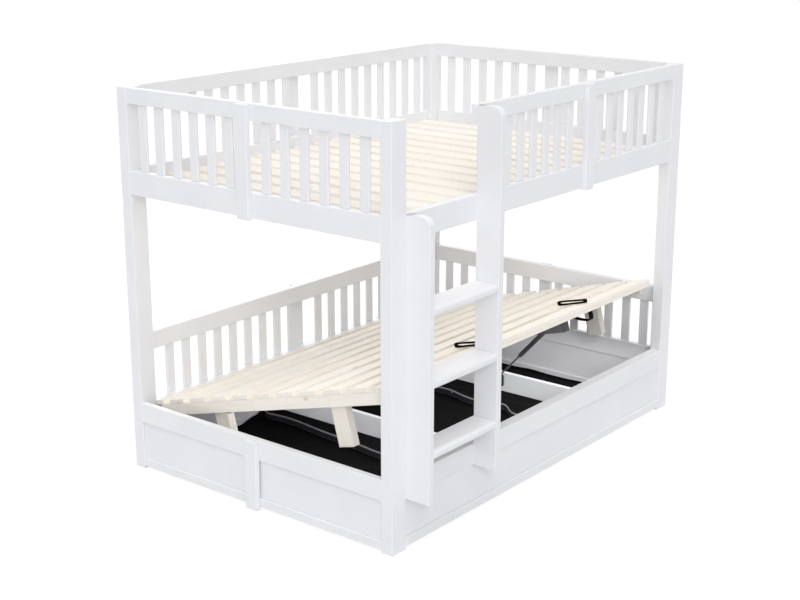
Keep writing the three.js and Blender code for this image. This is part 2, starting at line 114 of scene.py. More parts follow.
class Wiring:
    """A tree of nodes that is wired up node by node."""

    def __init__(self, tree):
        self.tree = tree

    def set(self, node, sockets):
        """Links or fills in a node's inputs."""
        for key, value in sockets.items():
            if isinstance(value, bpy.types.NodeSocket):
                self.tree.links.new(value, node.inputs[key])
            else:
                node.inputs[key].default_value = value
        return node

    def add(self, kind, sockets, **settings):
        """A new node with its settings and its inputs."""
        node = self.tree.nodes.new("ShaderNode" + kind)
        for key, value in settings.items():
            setattr(node, key, value)
        return self.set(node, sockets)

    def math(self, operation, *values):
        return self.add("Math", dict(enumerate(values)), operation=operation).outputs[0]

    def plus(self, a, b):
        return self.math("ADD", a, b)

    def times(self, a, b):
        return self.math("MULTIPLY", a, b)

    def vector(self, operation, *values):
        sockets = dict(enumerate(values))
        if operation == "SCALE":
            sockets = {0: values[0], "Scale": values[1]}
        return self.add("VectorMath", sockets, operation=operation).outputs[0]

    def noise(self, place, scale, detail=2.0, roughness=0.5, distortion=0.0):
        sockets = {"Vector": place, "Scale": scale, "Detail": detail}
        sockets |= {"Roughness": roughness, "Distortion": distortion}
        return self.add("TexNoise", sockets).outputs["Fac"]

    def between(self, value, low, high, start=0.0, end=1.0):
        """Value from start to end turned into low to high."""
        sockets = {"Value": value, "From Min": start, "From Max": end, "To Min": low, "To Max": high}
        return self.add("MapRange", sockets).outputs["Result"]

    def spread(self, noise, low=0, high=1):
        """Noise, which keeps near its middle, spread over low to high."""
        return self.between(noise, low, high, 0.3, 0.7)

    def jutting(self, most, start, end):
        """0 to a most where the surface's pointiness goes from start to end: rubbed wear on steel edges, and
        a painted highlight on painted edges.
        """
        pointiness = self.add("NewGeometry", {}).outputs["Pointiness"]
        return self.between(pointiness, 0, most, start, end)

    def blend(self, share, a, b):
        """Colour a turned into colour b by a share."""
        sockets = {0: share, MIX_COLOUR_A: a, MIX_COLOUR_B: b}
        return self.add("Mix", sockets, data_type="RGBA").outputs[MIX_COLOUR_RESULT]

    def bump(self, height, distance, strength):
        sockets = {"Height": height, "Distance": distance, "Strength": strength}
        return self.add("Bump", sockets).outputs["Normal"]

    def place(self, stretch=(1, 1, 1)):
        """The surface point in the piece's own axes, drawn out along each axis."""
        point = self.tree.nodes.get("Texture Coordinate") or self.tree.nodes.new("ShaderNodeTexCoord")
        return self.add("Mapping", {"Vector": point.outputs["Object"], "Scale": stretch}).outputs["Vector"]

    def grain(self, axis, lengthwise, shift):
        """The surface point with one axis drawn out, as grain runs, and moved by a shift."""
        stretch = tuple(lengthwise if i == axis else 1.0 for i in range(3))
        return self.vector("ADD", self.place(stretch), shift)

    def attribute(self, name):
        """A vector that the mesh carries."""
        return self.add("Attribute", {}, attribute_name=name).outputs["Vector"]


class Shader(Wiring):
    """A material, with its surface and its output."""

    def __init__(self, name):
        self.material = bpy.data.materials.new(name)
        self.material.use_nodes = True
        super().__init__(self.material.node_tree)
        self.surface = self.tree.nodes["Principled BSDF"]
        self.output = self.tree.nodes["Material Output"]


def rgb(red, green, blue):
    """A colour written in screen values, as the linear colour that a shader takes."""
    def linear(value):
        value /= 255
        return value / 12.92 if value <= 0.04045 else ((value + 0.055) / 1.055) ** 2.4
    return (linear(red), linear(green), linear(blue), 1.0)


PAINT_COLOUR = rgb(238, 239, 243)
PAINT_SHADE = rgb(234, 235, 240)
# Painted highlight: the lighter white given to the paint's edges.
PAINT_EDGE_HIGHLIGHT = rgb(245, 245, 245)
PAINT_RELIEF = 0.12 * MM
GRAIN_SHIFT = 9.0  # how far a timber's mark moves its grain


def white_paint(axis):
    """Satin paint over timber: a rolled skin, with a little of the grain showing through, and a painted
    highlight whitening its edges.
    """
    s = Shader(f"white_paint_{'xyz'[axis]}")
    seed = s.vector("SCALE", s.attribute("timber"), GRAIN_SHIFT)
    grain = s.noise(s.grain(axis, 0.05, seed), scale=160, detail=4, roughness=0.6, distortion=0.4)
    skin = s.noise(s.place(), scale=620, roughness=0.6)
    cloud = s.noise(s.vector("ADD", s.place(), seed), scale=4.5)
    colour = s.blend(s.spread(cloud), PAINT_COLOUR, PAINT_SHADE)
    # Painted highlight: pointy edges are whitened, standing in for the light that rounded edges catch.
    colour = s.blend(s.jutting(0.5, start=0.52, end=0.6), colour, PAINT_EDGE_HIGHLIGHT)
    height = s.plus(s.times(grain, 0.6), s.times(skin, 0.4))
    s.set(s.surface, {
        "Base Color": colour,
        "Roughness": s.spread(skin, 0.42, 0.55),
        "Specular IOR Level": 0.4,
        "Normal": s.bump(height, PAINT_RELIEF, strength=0.5),
    })
    return s.material


PINE_LIGHT = rgb(249, 245, 239)
PINE_MID = rgb(244, 239, 230)
PINE_DARK = rgb(234, 222, 204)
PINE_KNOT = rgb(214, 184, 146)
PINE_RELIEF = 0.18 * MM
FINGER_BLOCK = 420 * MM  # length of a finger-jointed block
FINGER_PITCH = 7.5 * MM
FINGER_DEPTH = 10 * MM
FINGER_SEAM = 0.0016  # share of a block that its joint's line takes
BLOCK_STARTS = 17.0  # turns a timber's mark into the place of its first block
BLOCK_KEYS = 31.0  # and into the key that its blocks share
BLOCK_SHIFT = 3.0  # how far a block's own key moves its rings
RING_COUNT = 14.0
LATE_WOOD = 2.2  # a higher power makes the dark part of a ring thinner
KNOTS_PER_METRE = 5.2


def pine(axis):
    """Planed pine in finger-jointed blocks: growth rings cut through lengthwise, fibres and knots."""
    s = Shader(f"pine_{'xyz'[axis]}")
    seed = s.attribute("timber")
    split = s.add("SeparateXYZ", {"Vector": s.place()})
    run, side = split.outputs[axis], split.outputs[Y if axis != Y else X]
    first = s.add("SeparateXYZ", {"Vector": seed}).outputs[X]
    tooth = s.math("PINGPONG", s.math("DIVIDE", side, FINGER_PITCH), 1.0)
    shifted = s.plus(run, s.times(tooth, FINGER_DEPTH))
    blocks = s.plus(s.math("DIVIDE", shifted, FINGER_BLOCK), s.times(first, BLOCK_STARTS))
    number = s.math("FLOOR", blocks)
    key = s.add("CombineXYZ", {"X": number, "Y": s.times(first, BLOCK_KEYS)}).outputs[0]
    block = s.add("TexWhiteNoise", {"Vector": key}, noise_dimensions="3D")
    shift = s.vector("SCALE", block.outputs["Color"], BLOCK_SHIFT)
    rings = s.noise(s.grain(axis, 0.055, shift), scale=26, roughness=0.45, distortion=0.5)
    late = s.math("POWER", s.math("PINGPONG", s.times(rings, RING_COUNT), 1.0), LATE_WOOD)
    fibre = s.noise(s.grain(axis, 0.02, block.outputs["Color"]), scale=900, detail=3, roughness=0.6)
    tone = s.between(block.outputs["Value"], 0.0, 0.85)
    colour = s.blend(tone, PINE_LIGHT, PINE_MID)
    colour = s.blend(s.times(late, 0.3), colour, PINE_DARK)
    colour = s.blend(s.between(fibre, 0.0, 0.09, start=0.35, end=0.7), colour, PINE_DARK)
    knots = s.add("TexVoronoi", {"Vector": s.grain(axis, 0.55, seed), "Scale": KNOTS_PER_METRE})
    distance = s.plus(knots.outputs["Distance"], s.times(rings, 0.03))
    knot = s.between(distance, 0.8, 0.0, start=0.035, end=0.075)
    colour = s.blend(knot, colour, PINE_KNOT)
    seam = s.math("LESS_THAN", s.math("FRACT", blocks), FINGER_SEAM)
    colour = s.blend(s.times(seam, 0.45), colour, PINE_KNOT)
    height = s.plus(s.times(late, 0.35), s.times(fibre, 0.65))
    s.set(s.surface, {
        "Base Color": colour,
        "Roughness": s.spread(fibre, 0.6, 0.78),
        "Specular IOR Level": 0.3,
        "Normal": s.bump(height, PINE_RELIEF, strength=0.5),
    })
    return s.material


STEEL_RUBBED = rgb(150, 150, 154)
STEEL_PEEL = 0.08 * MM
GRINDING = 0.03 * MM


def coated_steel(name, dark, light, roughness, metallic=0.25):
    """Powder-coated steel, with the fine orange peel of the coat and rubbed edges."""
    s = Shader(name)
    peel = s.noise(s.place(), scale=1400)
    cloud = s.noise(s.place(), scale=22, detail=3, roughness=0.6)
    colour = s.blend(s.between(cloud, 0.0, 1.0, start=0.35, end=0.65), dark, light)
    colour = s.blend(s.jutting(0.6, start=0.53, end=0.62), colour, STEEL_RUBBED)
    s.set(s.surface, {
        "Base Color": colour,
        "Roughness": s.spread(peel, roughness - 0.06, roughness + 0.08),
        "Metallic": metallic,
        "Normal": s.bump(peel, STEEL_PEEL, strength=0.6),
    })
    return s.material


def bright_steel():
    """Ground steel with fine marks round it."""
    s = Shader("bright_steel")
    marks = s.noise(s.place((30, 1, 1)), scale=240, detail=3, roughness=0.6)
    s.set(s.surface, {
        "Base Color": s.blend(s.spread(marks), rgb(150, 150, 156), rgb(186, 187, 192)),
        "Roughness": s.spread(marks, 0.22, 0.36),
        "Metallic": 1.0,
        "Normal": s.bump(marks, GRINDING, strength=0.4),
    })
    return s.material


WEB_RIB = 1.6 * MM  # from one row of the weave to the next
CLOTH_RELIEF = 0.35 * MM
BINDING_RELIEF = 0.2 * MM
DIMPLES_PER_METRE = 420.0
CREASE_WEIGHT = 12.0  # how much higher creases stand than fibres


def webbing():
    """Woven tape: rows of raised yarn, each set off by half from the last."""
    s = Shader("black_webbing")
    split = s.add("SeparateXYZ", {"Vector": s.attribute("strip")})
    run = s.math("DIVIDE", split.outputs[X], WEB_RIB)
    row = s.math("DIVIDE", split.outputs[Y], WEB_RIB)
    offset = s.times(s.math("MODULO", s.math("FLOOR", row), 2.0), 0.5)
    warp = s.math("SINE", s.times(s.plus(run, offset), math.tau))
    weft = s.math("SINE", s.times(row, math.tau))
    yarn = s.times(s.plus(s.math("ABSOLUTE", warp), s.math("ABSOLUTE", weft)), 0.5)
    fuzz = s.noise(s.place(), scale=1800, roughness=0.6)
    colour = s.blend(s.between(yarn, 0.0, 1.0, start=0.2, end=0.9), rgb(2, 2, 2), rgb(8, 8, 9))
    height = s.plus(yarn, s.times(fuzz, 0.3))
    s.set(s.surface, {
        "Base Color": s.blend(s.between(fuzz, 0, 0.3, start=0.4, end=0.8), colour, rgb(11, 11, 12)),
        "Roughness": s.spread(fuzz, 0.75, 0.95),
        "Specular IOR Level": 0.1,
        "Normal": s.bump(height, CLOTH_RELIEF, strength=0.8),
    })
    return s.material


def felt(name, dark, light):
    """Bonded cloth: a random mat of fibres with soft creases."""
    s = Shader(name)
    mat = s.noise(s.place(), scale=900, detail=4, roughness=0.7, distortion=0.6)
    crease = s.noise(s.place((1, 0.35, 1)), scale=9, detail=3, distortion=0.8)
    dimples = s.add("TexVoronoi", {"Vector": s.place(), "Scale": DIMPLES_PER_METRE})
    fibres = s.plus(mat, s.times(dimples.outputs["Distance"], 0.5))
    height = s.plus(fibres, s.times(crease, CREASE_WEIGHT))
    s.set(s.surface, {
        "Base Color": s.blend(s.between(mat, 0, 1, start=0.35, end=0.7), dark, light),
        "Roughness": s.spread(mat, 0.8, 0.95),
        "Specular IOR Level": 0.15,
        "Normal": s.bump(height, CLOTH_RELIEF, strength=0.6),
    })
    return s.material


def binding():
    """The pale bound edge of the lining, woven tape folded over it."""
    s = Shader("pale_binding")
    rib = s.noise(s.place(), scale=700, detail=3, roughness=0.6)
    s.set(s.surface, {
        "Base Color": s.blend(s.spread(rib), rgb(138, 139, 143), rgb(186, 187, 190)),
        "Roughness": s.spread(rib, 0.6, 0.8),
        "Normal": s.bump(rib, BINDING_RELIEF, strength=0.6),
    })
    return s.material


PAINTS = [white_paint(axis) for axis in (X, Y, Z)]
PINES = [pine(axis) for axis in (X, Y, Z)]
STEEL = coated_steel("dark_steel", rgb(62, 62, 66), rgb(74, 74, 79), 0.42)
ARM_STEEL = coated_steel("arm_steel", rgb(92, 92, 97), rgb(104, 104, 110), 0.4)
# Painted highlight: the strut's dark coat is given a mid-grey colour, standing in for the light on its lit
# side.
STRUT_HIGHLIGHT_STEEL = coated_steel("strut_steel_painted_highlight", rgb(122, 120, 119), rgb(136, 134, 133), 0.34, 0.5)
ROD_STEEL = bright_steel()
WEBBING = webbing()
FELT = felt("black_felt", rgb(2, 2, 3), rgb(7, 7, 9))
# Grey of the piping, and of the seam band, where it is a painted highlight for the lit near face of a seam
# wall.
HEM_AND_PAINTED_LIGHT_BAND = felt("grey_hem_and_painted_light_band", rgb(40, 41, 45), rgb(56, 57, 62))
BINDING = binding()
PLUG = coated_steel("arm_plug", rgb(40, 40, 43), rgb(52, 52, 56), 0.5)


# Meshes
def linked(name, data):
    """An object of the scene that shows some data."""
    item = bpy.data.objects.new(name, data)
    bpy.context.scene.collection.objects.link(item)
    return item


def to_object(name, bm, materials, slot, body, replaced=(), matrix=None):
    """Turns a mesh under construction, in a matrix's axes, into a piece that rides on a body."""
    mesh = bpy.data.meshes.new(name)
    bm.to_mesh(mesh)
    bm.free()
    piece = linked(name, mesh)
    for material in materials:
        mesh.materials.append(material)
    for polygon in mesh.polygons:
        polygon.use_smooth = True
    if matrix is not None:
        piece.matrix_world = matrix
    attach(piece, body)
    if replaced:
        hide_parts(*replaced)
    return piece


def weigh_normals(piece):
    """Large flat faces keep flat shading, and rounded edges turn smoothly between them."""
    modifier = piece.modifiers.new("normals", "WEIGHTED_NORMAL")
    modifier.weight = 100
    modifier.keep_sharp = True


def node_mesh(name, matrix=None):
    """A copy of a node's solid, in a matrix's axes if given, with its split corners joined again."""
    bm = bmesh.new()
    bm.from_mesh(nodes[name].data)
    bmesh.ops.remove_doubles(bm, verts=bm.verts, dist=SAME_PLACE)
    if matrix is not None:
        bm.transform(matrix.inverted())
    return bm


def islands(bm):
    """The sets of corners that edges join, in no fixed order."""
    left = set(bm.verts)
    while left:
        group, edge = set(), [left.pop()]
        while edge:
            corner = edge.pop()
            group.add(corner)
            for line in corner.link_edges:
                other = line.other_vert(corner)
                if other in left:
                    left.remove(other)
                    edge.append(other)
        yield group


def timbers(name, matrix):
    """The separate timbers of a node, as boxes, slab by slab from the ground up.

    Each slab is sorted by place, so that a timber gets the same mark in every run.
    """
    whole = node_mesh(name, matrix)
    levels = []
    for value in sorted(corner.co.z for corner in whole.verts):
        if not levels or value - levels[-1] > 2 * SKIN:
            levels.append(value)
    found = []
    for low, high in zip(levels, levels[1:]):
        part = whole.copy()
        for level, sign in ((low + SKIN, -1), (high - SKIN, 1)):
            geometry = part.verts[:] + part.edges[:] + part.faces[:]
            bmesh.ops.bisect_plane(
                part, geom=geometry, plane_co=(0, 0, level), plane_no=(0, 0, sign), clear_outer=True,
            )
        slab = []
        for group in islands(part):
            points = np.array([corner.co for corner in group])
            start, end = points.min(0), points.max(0)
            start[Z], end[Z] = low, high
            slab.append((Vector(start), Vector(end)))
        part.free()
        found.extend(sorted(slab, key=lambda ends: [round(value / SAME_PLACE) for value in ends[0]]))
    whole.free()
    return found


def random_mark():
    """Moves the grain of one timber, so that no two are alike."""
    return Vector((random.random(), random.random(), random.random()))


def add_timber(bm, start, end, edge):
    """Adds one timber with rounded edges, whose faces share a mark and its longest way as grain."""
    size, middle = end - start, (start + end) / 2
    made = bmesh.ops.create_cube(bm, size=1, matrix=Matrix.LocRotScale(middle, None, size))["verts"]
    mark = bm.faces.layers.float_vector["timber"]
    edges = dict.fromkeys(line for corner in made for line in corner.link_edges)
    rounded = bmesh.ops.bevel(
        bm, geom=list(edges), offset=min(edge, min(size) * EDGE_SHARE), segments=ROUND_STEPS,
        profile=0.5, affect="EDGES", clamp_overlap=True,
    )
    value = random_mark()
    axis = max(range(3), key=lambda i: size[i])
    faces = {face for corner in rounded["verts"] for face in corner.link_faces}
    for face in faces:
        face[mark] = value
        face.material_index = axis


def split_board(start, end, place):
    """Two boards in place of one, which meet at a place along X."""
    yield start, Vector((place - BOARD_JOINT / 2, end.y, end.z))
    yield Vector((place + BOARD_JOINT / 2, start.y, start.z)), end


def timber_piece(name, kinds, edge, matrix):
    """A node's timbers, each with its own grain and rounded edges, in the node's place."""
    bm = bmesh.new()
    bm.faces.layers.float_vector.new("timber")
    found = timbers(name, matrix)
    if name == JOINTED_PANEL:
        sheet = min(found, key=lambda ends: ends[1].y - ends[0].y)
        found.remove(sheet)
        found.extend(split_board(*sheet, PANEL_JOINT_X))
    for start, end in found:
        add_timber(bm, start, end, edge)
    piece = to_object(f"{name}_timber", bm, kinds, slot_of_node[name], body_of_node[name], (name,), matrix)
    weigh_normals(piece)


def weigh_edges(bm):
    """Marks the sharp edges for rounding, but for those of the back face, which lies on another piece."""
    back = max(corner.co.y for corner in bm.verts) - SKIN
    weight = bm.edges.layers.float.new("bevel_weight_edge")
    for line in bm.edges:
        behind = all(corner.co.y > back for corner in line.verts)
        line[weight] = float(not behind and line.calc_face_angle(0) > EDGE_ANGLE)


def rounded_piece(name, kinds, axis, edge, matrix=None, steps=ROUND_STEPS, sharp_back=False):
    """A node's own solid with its sharp edges rounded."""
    bm = node_mesh(name, matrix)
    bmesh.ops.dissolve_limit(bm, angle_limit=FLAT_ANGLE, verts=bm.verts, edges=bm.edges)
    mark = bm.faces.layers.float_vector.new("timber")
    value = random_mark()
    for face in bm.faces:
        face[mark] = value
        face.material_index = axis
    if sharp_back:
        weigh_edges(bm)
    piece = to_object(f"{name}_body", bm, kinds, slot_of_node[name], body_of_node[name], (name,), matrix)
    modifier = piece.modifiers.new("edges", "BEVEL")
    modifier.width = edge
    modifier.segments = steps
    modifier.limit_method = "WEIGHT" if sharp_back else "ANGLE"
    modifier.angle_limit = EDGE_ANGLE
    modifier.use_clamp_overlap = True
    weigh_normals(piece)


# Timber frame
ROUNDED = ("ladder_stringer_left", "ladder_stringer_right", "ladder_step_1", "ladder_step_2", "ladder_step_3")
for name, slot in slot_of_node.items():
    if slot == "white_paint" and name not in ROUNDED:
        timber_piece(name, PAINTS, PAINTED_EDGE, None)
    elif slot == "pine":
        timber_piece(name, PINES, PINE_EDGE, RAISED if body_of_node[name] == "lift_platform" else None)
for name in ROUNDED:
    rounded_piece(name, PAINTS, Z if "stringer" in name else X, PAINTED_EDGE, sharp_back=True)

# Steel
for name in ("lift_arm_near", "lift_arm_far"):
    rounded_piece(name, [ARM_STEEL], X, STEEL_EDGE, RAISED)
for name in ("pivot_bracket_near", "pivot_bracket_far", "strut_bracket_near", "strut_bracket_far"):
    rounded_piece(name, [STEEL], X, STEEL_EDGE / 2, steps=2)


# Webbing
ROUND_SIDES = 40
WEB_SECTION_SHARES = (
    (-0.5, -0.18), (-0.47, -0.38), (-0.4, -0.5), (0.0, -0.46),
    (0.4, -0.5), (0.47, -0.38), (0.5, -0.18), (0.47, 0),
    (0.5, 0.18), (0.47, 0.38), (0.4, 0.5), (0.0, 0.46),
    (-0.4, 0.5), (-0.47, 0.38), (-0.5, 0.18), (-0.47, 0),
)  # two layers of tape, as shares of width and thickness
SHEET_SECTION_SHARES = (
    (-0.5, -0.3), (-0.48, -0.5), (0.48, -0.5), (0.5, -0.3),
    (0.5, 0.3), (0.48, 0.5), (-0.48, 0.5), (-0.5, 0.3),
)


def sharpen(bm):
    """Edges that turn by more than a rounded edge does stay sharp."""
    for line in bm.edges:
        if len(line.link_faces) == 2 and line.calc_face_angle() > EDGE_ANGLE:
            line.smooth = False


def sweep(bm, path, section, width, thickness, side=Vector((1, 0, 0)), closed=False, swell=None):
    """Adds a flat section along a path. Side is the way its width lies, and swell thickens it by place."""
    strip = bm.verts.layers.float_vector.get("strip") or bm.verts.layers.float_vector.new("strip")
    count, rings, run = len(path), [], 0.0
    for i, point in enumerate(path):
        before = path[i - 1] if closed or i else point
        after = path[(i + 1) % count] if closed or i < count - 1 else point
        ahead = (after - before).normalized()
        across = (side - ahead * side.dot(ahead)).normalized()
        up = across.cross(ahead)
        if i:
            run += (point - path[i - 1]).length
        scale = swell(i / count) if swell else 1.0
        ring = []
        for a, b in section:
            corner = bm.verts.new(point + across * (a * width) + up * (b * thickness * scale))
            corner[strip] = (run, a * width, 0)
            ring.append(corner)
        rings.append(ring)
    turns = len(section)
    for i in range(count if closed else count - 1):
        low, high = rings[i], rings[(i + 1) % count]
        for j in range(turns):
            k = (j + 1) % turns
            bm.faces.new((low[j], high[j], high[k], low[k]))
    if not closed:
        bm.faces.new(rings[0])
        bm.faces.new(reversed(rings[-1]))


def turned(bm, profile, matrix=Matrix.Identity(4), sides=ROUND_SIDES):
    """Adds a round solid along the matrix's Z. The profile of (radius, height) runs from top to foot."""
    rings = []
    for radius, height in profile:
        steps = sides if radius > 0 else 1
        angles = [math.tau * i / steps for i in range(steps)]
        places = [Vector((radius * math.cos(a), radius * math.sin(a), height)) for a in angles]
        rings.append([bm.verts.new(matrix @ place) for place in places])
    for high, low in zip(rings, rings[1:]):
        for i in range(sides):
            k = (i + 1) % sides
            corners = [high[i % len(high)], low[i % len(low)], low[k % len(low)], high[k % len(high)]]
            corners = list(dict.fromkeys(corners))
            if len(corners) > 2:
                bm.faces.new(corners)


def span(name, matrix=None):
    """Lowest and highest corner of a node, in a matrix's axes if one is given."""
    bm = node_mesh(name, matrix)
    points = np.array([corner.co for corner in bm.verts])
    bm.free()
    return Vector(points.min(0)), Vector(points.max(0))


LOOP_STEPS = 72
LOOP_TAPE = 7.2 * MM
LOOP_LAP = 0.9  # how much thicker the two sewn ends are
LOOP_ROUNDING = 0.5  # 1 is an ellipse, and less is nearer a rectangle
LOOP_NARROWING = 0.18
LOOP_DROOP = 0.1
LOOP_SAG = 0.8 * MM  # by which the upper run sags
LOOP_WAVE = 0.4  # how uneven the sag is
LOOP_WAVES = 4
LOOP_SEWING = 5  # a higher power keeps the thick part nearer the ends
LOOP_SCREW = 3.2 * MM


def ease(share):
    """0 to 1 with a soft start and end."""
    share = min(max(share, 0.0), 1.0)
    return share * share * (3 - 2 * share)


def power(value, exponent):
    """A power that keeps its value's sign."""
    return math.copysign(abs(value) ** exponent, value)


def pull_loop(name):
    """A flattened ring of doubled tape, sewn thick at both ends and narrower at its front one."""
    low, high = span(name, RAISED)
    middle = (low + high) / 2
    half_height = (high.z - low.z - LOOP_TAPE) / 2
    half_length = (high.y - low.y - LOOP_TAPE * (1 + LOOP_LAP)) / 2
    path = []
    for i in range(LOOP_STEPS):
        turn = math.tau * i / LOOP_STEPS
        forward, up = power(math.cos(turn), LOOP_ROUNDING), power(math.sin(turn), LOOP_ROUNDING)
        narrow = 1 - LOOP_NARROWING * ease((1 + forward) / 2)
        wave = 1 + LOOP_WAVE * math.sin(LOOP_WAVES * forward)
        sag = LOOP_SAG * math.sin(math.pi * (1 + forward) / 2) * wave
        rise = half_height * (up * narrow + (narrow - 1) * LOOP_DROOP) - (sag if up > 0 else 0)
        path.append(middle + Vector((0, -forward * half_length, rise)))

    def swell(share):
        return 1 + LOOP_LAP * abs(math.cos(math.tau * share)) ** LOOP_SEWING

    bm = bmesh.new()
    sweep(bm, path, WEB_SECTION_SHARES, high.x - low.x, LOOP_TAPE, closed=True, swell=swell)
    sharpen(bm)
    to_object(f"{name}_tape", bm, [WEBBING], "black_webbing", "lift_platform", (name,), RAISED)
    bm = bmesh.new()
    for y in (-0.5, 0.5):
        foot = Matrix.Translation((middle.x, middle.y + y * half_length, low.z + LOOP_TAPE))
        turned(bm, screw_profile(LOOP_SCREW, LOOP_SCREW / 3), foot)
    sharpen(bm)
    to_object(f"{name}_screws", bm, [ROD_STEEL], "bright_steel", "lift_platform", matrix=RAISED)


STRAP_TAPE = 2.6 * MM
STRAP_BEND = 13 * MM
STRAP_BEND_STEPS = 10
STRAP_CLIMB = 16 * MM  # by which the run under the platform rises to the back
STRAP_RUN_STEPS = 8
STRAP_HOLLOW = 1.6  # 1 is a straight climb


def screw_profile(radius, height):
    """Domed head with a round socket in it, from the axis out and down."""
    return [
        (0, 0.3 * height), (0.34 * radius, 0.3 * height), (0.4 * radius, 0.94 * height),
        (0.5 * radius, height), (0.78 * radius, 0.8 * height), (0.96 * radius, 0.4 * height),
        (radius, 0), (0, 0),
    ]


def pull_strap(name):
    """Wide tape that hangs from the platform in a U with round bends."""
    low, high = span(name, RAISED)
    half = STRAP_TAPE / 2
    front, back, foot = low.y + half, high.y - half, low.z + half
    drop = high.z - foot - STRAP_BEND
    run = back - front - 2 * STRAP_BEND
    bend_top = foot + STRAP_CLIMB + STRAP_BEND
    turns = [math.pi / 2 * i / STRAP_BEND_STEPS for i in range(STRAP_BEND_STEPS + 1)]
    shares = [i / STRAP_RUN_STEPS for i in range(1, STRAP_RUN_STEPS)]
    line = [(front, high.z - share * drop) for share in (0, *shares)]
    for turn in turns:
        line.append((front + STRAP_BEND * (1 - math.cos(turn)), foot + STRAP_BEND * (1 - math.sin(turn))))
    for share in shares:
        line.append((front + STRAP_BEND + share * run, foot + STRAP_CLIMB * share ** STRAP_HOLLOW))
    for turn in turns:
        z = foot + STRAP_CLIMB + STRAP_BEND * (1 - math.cos(turn))
        line.append((back - STRAP_BEND * (1 - math.sin(turn)), z))
    line.extend((back, bend_top + share * (high.z - bend_top)) for share in (*shares, 1))
    path = [Vector(((low.x + high.x) / 2, y, z)) for y, z in line]
    bm = bmesh.new()
    sweep(bm, path, SHEET_SECTION_SHARES, high.x - low.x, STRAP_TAPE)
    sharpen(bm)
    to_object(f"{name}_tape", bm, [WEBBING], "black_webbing", "lift_platform", (name,), RAISED)


for name in ("pull_loop_near", "pull_loop_far"):
    pull_loop(name)
pull_strap("pull_strap")


# Gas struts
CRIMP_DEPTH = 0.9 * MM
CRIMP_WIDTH = 5 * MM
SHOULDER = 6 * MM
GLAND_RADIUS = 6.2 * MM
GLAND_LENGTH = 4 * MM
SOCKET_NECK = 5.2 * MM
SOCKET_REACH = 20 * MM  # from the ball's middle to where the socket meets the strut
CLIP_RADIUS = 0.9 * MM
JOINT_HALF = 7.5 * MM
CLIP_SHARE = 0.35  # of the socket's width, from its middle to a clip
STUD_RADIUS = 4.5 * MM
COLLAR_RADIUS = 1.5 * STUD_RADIUS
COLLAR_HALF = STUD_RADIUS / 3
STUD_SIDES = 24
HEXAGON_SIDES = 6
ROD_RADIUS = 4 * MM


def strut_frame(side):
    """Axes of a strut at rest: Z from its foot to its top joint, where the origin lies."""
    up = Vector(joints[f"strut_slide_{side}"]["axis"]).normalized()
    across = Vector((1, 0, 0))
    turn = Matrix((across, up.cross(across), up)).transposed().to_4x4()
    return Matrix.Translation(joints[f"strut_swing_{side}"]["pos_m"]) @ turn


def ball_socket(bm, place, radius, width, toward):
    """A ball joint's housing across the strut, with its stud's collar and the neck toward the strut."""
    across = Matrix.Translation((0, 0, place)) @ Matrix.Rotation(math.pi / 2, 4, "Y")
    half = width / 2
    upper = [(0, half), (0.55 * radius, half), (0.86 * radius, 0.86 * half), (radius, 0.55 * half)]
    turned(bm, upper + [(out, -height) for out, height in reversed(upper)], across)
    rim, bore = radius + CLIP_RADIUS * 0.5, radius * 0.8
    clip = [
        (rim, CLIP_RADIUS), (radius + CLIP_RADIUS, 0), (rim, -CLIP_RADIUS),
        (bore, -CLIP_RADIUS), (bore, CLIP_RADIUS), (rim, CLIP_RADIUS),
    ]
    for end in (-CLIP_SHARE, CLIP_SHARE):
        turned(bm, clip, across @ Matrix.Translation((0, 0, end * width)))
    first, last = sorted((place, place + toward * SOCKET_REACH))
    turned(bm, [
        (0, last), (SOCKET_NECK, last), (SOCKET_NECK * 1.15, (first + last) / 2),
        (SOCKET_NECK, first), (0, first),
    ])


def stud(bm, height, low_x, high_x):
    """The ball's stud, out to whichever side the plate or the arm is on, with a hexagon collar."""
    end = low_x if abs(low_x) > abs(high_x) else high_x
    across = Matrix.Translation((0, 0, height)) @ Matrix.Rotation(math.pi / 2, 4, "Y")
    low, high = sorted((0, end))
    turned(bm, [(0, high), (STUD_RADIUS, high), (STUD_RADIUS, low), (0, low)], across, STUD_SIDES)
    top, foot = 2 * end / 3 + COLLAR_HALF, 2 * end / 3 - COLLAR_HALF
    turned(bm, [(0, top), (COLLAR_RADIUS, top), (COLLAR_RADIUS, foot), (0, foot)], across, HEXAGON_SIDES)


